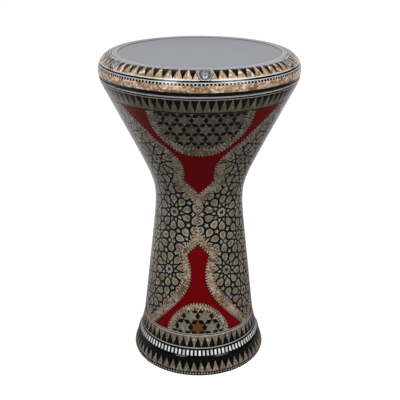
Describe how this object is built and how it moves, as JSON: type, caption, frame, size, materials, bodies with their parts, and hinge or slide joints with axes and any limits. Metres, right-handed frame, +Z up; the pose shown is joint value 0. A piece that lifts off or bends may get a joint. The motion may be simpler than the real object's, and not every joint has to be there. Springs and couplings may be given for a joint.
{
  "type": "goblet drum",
  "caption": "Goblet-shaped hand drum with a cast metal body and tuning ring under shell inlay, a film head held by a hoop, and socket screws that tension it.",
  "frame": {"origin": "centre of the foot's rim, on the surface the drum stands on", "axes": "+Z up along the drum's axis, from the foot to the head; -Y towards the picture's camera"},
  "size_m": [0.2704, 0.2696, 0.4472],
  "materials": {
    "cast_aluminium": "as cast, satin",
    "lacquered_ring": "gloss black lacquer",
    "steel_screw": "plated steel",
    "grey_film": "matte film",
    "hoop_aluminium": "satin",
    "pearl_and_black": "shell chips in gloss black lacquer",
    "black_lacquer": "gloss lacquer",
    "red_lacquer": "gloss lacquer",
    "brown_pearl": "polished shell",
    "lattice_pearl": "shell chips in gloss black lacquer"
  },
  "bodies": {
    "shell": {"shell_casting": "cast_aluminium", "bowl_line_inlay": "black_lacquer", "collar_triangle_inlay": "pearl_and_black", "flesh_hoop": "hoop_aluminium", "foot_bead_moulding": "black_lacquer", "foot_dotted_border": "black_lacquer", "foot_flare_inlay": "pearl_and_black", "foot_key_inlay": "brown_pearl", "foot_triangle_inlay": "pearl_and_black", "head_film": "grey_film", "lower_arch_medallion_1": "pearl_and_black", "lower_arch_medallion_2": "pearl_and_black", "lower_arch_medallion_3": "pearl_and_black", "lower_red_panel_1": "red_lacquer", "lower_red_panel_2": "red_lacquer", "lower_red_panel_3": "red_lacquer", "lower_ribbon_1": "brown_pearl", "lower_ribbon_2": "brown_pearl", "lower_ribbon_3": "brown_pearl", "rosette_field_1": "lattice_pearl", "rosette_field_2": "lattice_pearl", "rosette_field_3": "lattice_pearl", "upper_red_panel_1": "red_lacquer", "upper_red_panel_2": "red_lacquer", "upper_red_panel_3": "red_lacquer", "upper_ribbon_1": "brown_pearl", "upper_ribbon_2": "brown_pearl", "upper_ribbon_3": "brown_pearl", "upper_star_medallion_1": "pearl_and_black", "upper_star_medallion_2": "pearl_and_black", "upper_star_medallion_3": "pearl_and_black"},
    "ring": {"tuning_ring": "lacquered_ring", "rim_dotted_border": "black_lacquer", "rim_line_inlay": "black_lacquer", "rim_medallion_1": "black_lacquer", "rim_medallion_2": "black_lacquer", "rim_medallion_3": "black_lacquer", "rim_medallion_4": "black_lacquer", "rim_medallion_5": "black_lacquer", "rim_medallion_6": "black_lacquer", "rim_pearl_band": "brown_pearl", "rim_triangle_inlay_1": "pearl_and_black", "rim_triangle_inlay_2": "pearl_and_black", "rim_triangle_inlay_3": "pearl_and_black", "rim_triangle_inlay_4": "pearl_and_black", "rim_triangle_inlay_5": "pearl_and_black", "rim_triangle_inlay_6": "pearl_and_black"},
    "screw_1": {"tuning_screw_1": "steel_screw"},
    "screw_2": {"tuning_screw_2": "steel_screw"},
    "screw_3": {"tuning_screw_3": "steel_screw"},
    "screw_4": {"tuning_screw_4": "steel_screw"},
    "screw_5": {"tuning_screw_5": "steel_screw"},
    "screw_6": {"tuning_screw_6": "steel_screw"}
  },
  "joints": [
    {"name": "ring_lift", "type": "slide", "parent": "shell", "child": "ring", "axis": [0, 0, 1], "range_m": [0, 0.003]},
    {"name": "screw_1_turn", "type": "hinge", "parent": "ring", "child": "screw_1", "pos_m": [0.00655, -0.12503, 0.4343], "axis": [0, 0, 1], "range_deg": [0, 1080]},
    {"name": "screw_2_turn", "type": "hinge", "parent": "ring", "child": "screw_2", "pos_m": [0.11155, -0.05684, 0.4343], "axis": [0, 0, 1], "range_deg": [0, 1080]},
    {"name": "screw_3_turn", "type": "hinge", "parent": "ring", "child": "screw_3", "pos_m": [0.105, 0.06819, 0.4343], "axis": [0, 0, 1], "range_deg": [0, 1080]},
    {"name": "screw_4_turn", "type": "hinge", "parent": "ring", "child": "screw_4", "pos_m": [-0.00655, 0.12503, 0.4343], "axis": [0, 0, 1], "range_deg": [0, 1080]},
    {"name": "screw_5_turn", "type": "hinge", "parent": "ring", "child": "screw_5", "pos_m": [-0.11155, 0.05684, 0.4343], "axis": [0, 0, 1], "range_deg": [0, 1080]},
    {"name": "screw_6_turn", "type": "hinge", "parent": "ring", "child": "screw_6", "pos_m": [-0.105, -0.06819, 0.4343], "axis": [0, 0, 1], "range_deg": [0, 1080]}
  ],
  "couplings": [
    {"joint": "screw_1_turn", "follows": "ring_lift", "rad_per_m": 6283.2},
    {"joint": "screw_2_turn", "follows": "ring_lift", "rad_per_m": 6283.2},
    {"joint": "screw_3_turn", "follows": "ring_lift", "rad_per_m": 6283.2},
    {"joint": "screw_4_turn", "follows": "ring_lift", "rad_per_m": 6283.2},
    {"joint": "screw_5_turn", "follows": "ring_lift", "rad_per_m": 6283.2},
    {"joint": "screw_6_turn", "follows": "ring_lift", "rad_per_m": 6283.2}
  ]
}
